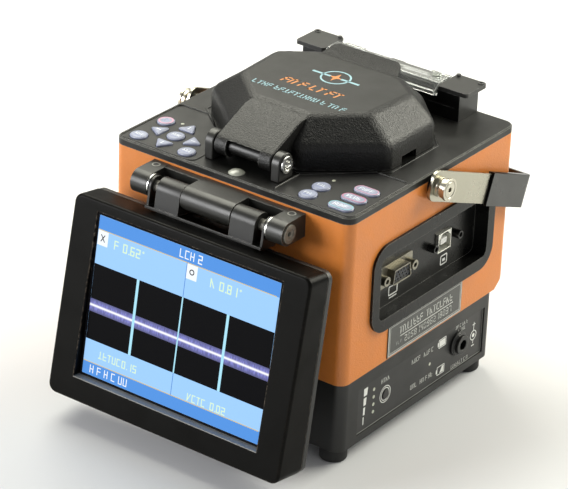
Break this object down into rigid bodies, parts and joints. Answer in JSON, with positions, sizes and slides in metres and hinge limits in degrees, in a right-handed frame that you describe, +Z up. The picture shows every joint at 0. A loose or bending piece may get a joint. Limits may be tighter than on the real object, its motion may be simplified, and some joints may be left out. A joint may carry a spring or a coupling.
{
  "type": "fiber fusion splicer",
  "caption": "Desktop splicing machine with a tilting display, keypads, a lift-up hood over the splicing stage, a rear tube heater, a side socket bay and a swinging carry handle.",
  "frame": {"origin": "centre of the overall box's bottom face, on the table under the rubber feet", "axes": "+X to the user's right, towards the side with the sockets; +Y to the back, away from the monitor; +Z up"},
  "size_m": [0.1714, 0.216, 0.1714],
  "materials": {
    "rubber_black": "matte",
    "steel_bright": "satin",
    "steel_black": "satin black",
    "steel_warm": "satin, slightly yellow plating",
    "plastic_slate": "fine grain",
    "plastic_panel": "printed film, satin",
    "cell_wrap": "shrink wrap",
    "key_grey": "satin",
    "plastic_black": "smooth",
    "paint_orange": "leather-grain paint",
    "plastic_frame": "fine grain",
    "plastic_navy": "smooth",
    "plastic_white": "smooth",
    "label_plate": "printed, satin",
    "board_green": "solder mask",
    "deck_charcoal": "satin",
    "keypad_film": "membrane film, satin",
    "key_lilac": "gloss",
    "key_rose": "gloss",
    "key_pale": "gloss",
    "key_cyan": "gloss",
    "led_clear": "clear, gloss",
    "bracket_black": "satin black",
    "brass_pin": "polished",
    "plastic_bezel": "satin",
    "plastic_cover": "fine grain",
    "screen": "lit display, gloss",
    "hood_grey": "coarse grain, smooth crown",
    "stage_alloy": "machined",
    "ceramic_white": "ground",
    "clamp_grey": "satin",
    "plastic_heater": "satin",
    "clear_lid": "clear, gloss",
    "strap_nickel": "satin nickel",
    "grip_black": "smooth sleeve, gloss"
  },
  "bodies": {
    "chassis": {"rubber_feet": "rubber_black", "foot_screws": "steel_bright", "battery_case": "plastic_slate", "battery_panel": "plastic_panel", "battery_cells": "cell_wrap", "dc_jack": "plastic_black", "body_shell": "paint_orange", "port_frame": "plastic_frame", "vga_shell": "steel_warm", "vga_insert": "plastic_navy", "usb_shell": "steel_bright", "usb_insert": "plastic_white", "port_pegs": "plastic_black", "id_plate": "label_plate", "main_board": "board_green", "deck": "deck_charcoal", "stage_well": "deck_charcoal", "keypad_films": "keypad_film", "status_leds": "led_clear", "deck_lamp": "led_clear", "hinge_bracket": "bracket_black", "hinge_screws": "steel_black", "hinge_pins": "brass_pin", "hinge_washers": "steel_bright", "hood_posts": "bracket_black", "hood_pin": "steel_bright", "stage_block": "stage_alloy", "v_grooves": "ceramic_white", "electrodes": "steel_bright", "lenses": "plastic_black", "heater_base": "plastic_heater", "heater_pin": "steel_bright", "handle_bolts": "strap_nickel", "handle_washers": "plastic_black"},
    "gauge": {"gauge_button": "key_grey"},
    "hood": {"hood": "hood_grey"},
    "clamp_left": {"fiber_clamp_left": "clamp_grey"},
    "clamp_right": {"fiber_clamp_right": "clamp_grey"},
    "heater_cover": {"heater_lid": "clear_lid"},
    "heater_grip_left": {"heater_clamp_left": "clamp_grey"},
    "heater_grip_right": {"heater_clamp_right": "clamp_grey"},
    "handle": {"handle_strap": "strap_nickel", "handle_grip": "grip_black"},
    "monitor": {"monitor_bracket": "bracket_black", "monitor_bezel": "plastic_bezel", "monitor_cover": "plastic_cover", "lcd_panel": "screen"},
    "key_power": {"key_power": "key_rose"},
    "key_menu": {"key_menu": "key_lilac"},
    "key_escape": {"key_escape": "key_lilac"},
    "key_enter": {"key_enter": "key_lilac"},
    "key_right": {"key_right": "key_lilac"},
    "key_back": {"key_back": "key_lilac"},
    "key_left": {"key_left": "key_lilac"},
    "key_front": {"key_front": "key_lilac"},
    "key_zoom": {"key_zoom": "key_lilac"},
    "key_view": {"key_view": "key_lilac"},
    "key_heat": {"key_heat": "key_pale"},
    "key_set": {"key_set": "key_rose"},
    "key_reset": {"key_reset": "key_cyan"}
  },
  "joints": [
    {"name": "monitor_tilt", "type": "hinge", "parent": "chassis", "child": "monitor", "pos_m": [0, -0.06838, 0.13064], "axis": [-1, 0, 0], "range_deg": [-9, 100]},
    {"name": "hood_lift", "type": "hinge", "parent": "chassis", "child": "hood", "pos_m": [0, -0.03929, 0.1505], "axis": [1, 0, 0], "range_deg": [0, 100]},
    {"name": "handle_swing", "type": "hinge", "parent": "chassis", "child": "handle", "pos_m": [0, 0.01722, 0.1352], "axis": [1, 0, 0], "range_deg": [0, 111]},
    {"name": "heater_lid_lift", "type": "hinge", "parent": "chassis", "child": "heater_cover", "pos_m": [0, 0.09262, 0.1556], "axis": [-1, 0, 0], "range_deg": [0, 100]},
    {"name": "heater_left_lift", "type": "hinge", "parent": "chassis", "child": "heater_grip_left", "pos_m": [0, 0.09262, 0.1556], "axis": [-1, 0, 0], "range_deg": [0, 95]},
    {"name": "heater_right_lift", "type": "hinge", "parent": "chassis", "child": "heater_grip_right", "pos_m": [0, 0.09262, 0.1556], "axis": [-1, 0, 0], "range_deg": [0, 95]},
    {"name": "clamp_left_lift", "type": "hinge", "parent": "chassis", "child": "clamp_left", "pos_m": [0, 0.02781, 0.1474], "axis": [-1, 0, 0], "range_deg": [0, 95]},
    {"name": "clamp_right_lift", "type": "hinge", "parent": "chassis", "child": "clamp_right", "pos_m": [0, 0.02781, 0.1474], "axis": [-1, 0, 0], "range_deg": [0, 95]},
    {"name": "gauge_press", "type": "slide", "parent": "chassis", "child": "gauge", "axis": [-1, 0, 0], "range_m": [0, 0.0005], "stiffness_N_per_m": 800},
    {"name": "power_press", "type": "slide", "parent": "chassis", "child": "key_power", "axis": [0, 0, -1], "range_m": [0, 0.0007], "stiffness_N_per_m": 800},
    {"name": "menu_press", "type": "slide", "parent": "chassis", "child": "key_menu", "axis": [0, 0, -1], "range_m": [0, 0.0007], "stiffness_N_per_m": 800},
    {"name": "escape_press", "type": "slide", "parent": "chassis", "child": "key_escape", "axis": [0, 0, -1], "range_m": [0, 0.0007], "stiffness_N_per_m": 800},
    {"name": "enter_press", "type": "slide", "parent": "chassis", "child": "key_enter", "axis": [0, 0, -1], "range_m": [0, 0.0007], "stiffness_N_per_m": 800},
    {"name": "right_press", "type": "slide", "parent": "chassis", "child": "key_right", "axis": [0, 0, -1], "range_m": [0, 0.0007], "stiffness_N_per_m": 800},
    {"name": "back_press", "type": "slide", "parent": "chassis", "child": "key_back", "axis": [0, 0, -1], "range_m": [0, 0.0007], "stiffness_N_per_m": 800},
    {"name": "left_press", "type": "slide", "parent": "chassis", "child": "key_left", "axis": [0, 0, -1], "range_m": [0, 0.0007], "stiffness_N_per_m": 800},
    {"name": "front_press", "type": "slide", "parent": "chassis", "child": "key_front", "axis": [0, 0, -1], "range_m": [0, 0.0007], "stiffness_N_per_m": 800},
    {"name": "zoom_press", "type": "slide", "parent": "chassis", "child": "key_zoom", "axis": [0, 0, -1], "range_m": [0, 0.0007], "stiffness_N_per_m": 800},
    {"name": "view_press", "type": "slide", "parent": "chassis", "child": "key_view", "axis": [0, 0, -1], "range_m": [0, 0.0007], "stiffness_N_per_m": 800},
    {"name": "heat_press", "type": "slide", "parent": "chassis", "child": "key_heat", "axis": [0, 0, -1], "range_m": [0, 0.0007], "stiffness_N_per_m": 800},
    {"name": "set_press", "type": "slide", "parent": "chassis", "child": "key_set", "axis": [0, 0, -1], "range_m": [0, 0.0007], "stiffness_N_per_m": 800},
    {"name": "reset_press", "type": "slide", "parent": "chassis", "child": "key_reset", "axis": [0, 0, -1], "range_m": [0, 0.0007], "stiffness_N_per_m": 800}
  ]
}
